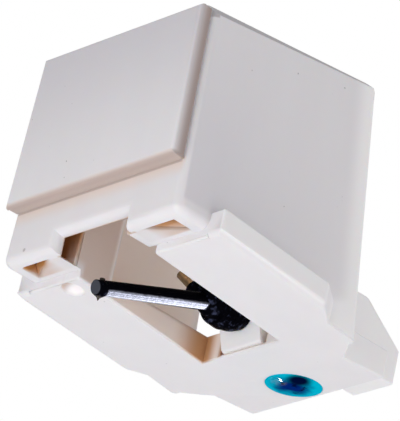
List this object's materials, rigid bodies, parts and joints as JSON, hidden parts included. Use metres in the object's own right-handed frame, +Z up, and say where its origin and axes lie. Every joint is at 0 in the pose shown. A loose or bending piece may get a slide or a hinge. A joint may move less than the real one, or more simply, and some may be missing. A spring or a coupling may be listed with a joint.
{
  "type": "turntable stylus",
  "caption": "Replacement stylus for a record player cartridge: open-backed moulded housing on a sloping base plate, with a diamond-tipped cantilever hung on a rubber damper.",
  "frame": {"origin": "where the cartridge nose stops against the two pillars, on the middle plane and on the floor of the socket", "axes": "+X to the right side, +Y to the open rear where the cartridge leaves, +Z up, away from the record"},
  "size_m": [0.0142, 0.0191, 0.0142],
  "materials": {
    "ivory_plastic": "satin moulded",
    "blue_lacquer": "gloss",
    "plug_plastic": "satin moulded",
    "sleeve_brass": "crimped",
    "wire_steel": "drawn",
    "damper_rubber": "moulded",
    "holder_plastic": "gloss moulded",
    "magnet_bronze": "lacquered",
    "cantilever_black": "gloss",
    "shank_metal": "ground",
    "diamond": "polished",
    "adhesive": "cured gloss"
  },
  "bodies": {
    "housing": {"housing": "ivory_plastic", "colour_dot": "blue_lacquer", "suspension_plug": "plug_plastic", "wire_sleeve": "sleeve_brass", "tie_wire": "wire_steel"},
    "damper": {"damper": "damper_rubber"},
    "cantilever": {"magnet_holder": "holder_plastic", "left_magnet": "magnet_bronze", "right_magnet": "magnet_bronze", "cantilever": "cantilever_black", "stylus_shank": "shank_metal", "diamond_tip": "diamond", "adhesive_bead": "adhesive"}
  },
  "joints": [
    {"name": "cantilever_lateral", "type": "hinge", "parent": "housing", "child": "damper", "pos_m": [0, 0.00494, 0.00041], "axis": [0, -0.342, 0.9397], "range_deg": [-3, 3], "stiffness_Nm_per_rad": 0.002},
    {"name": "cantilever_vertical", "type": "hinge", "parent": "damper", "child": "cantilever", "pos_m": [0, 0.00494, 0.00041], "axis": [-1, 0, 0], "range_deg": [-1.5, 4], "stiffness_Nm_per_rad": 0.002}
  ]
}
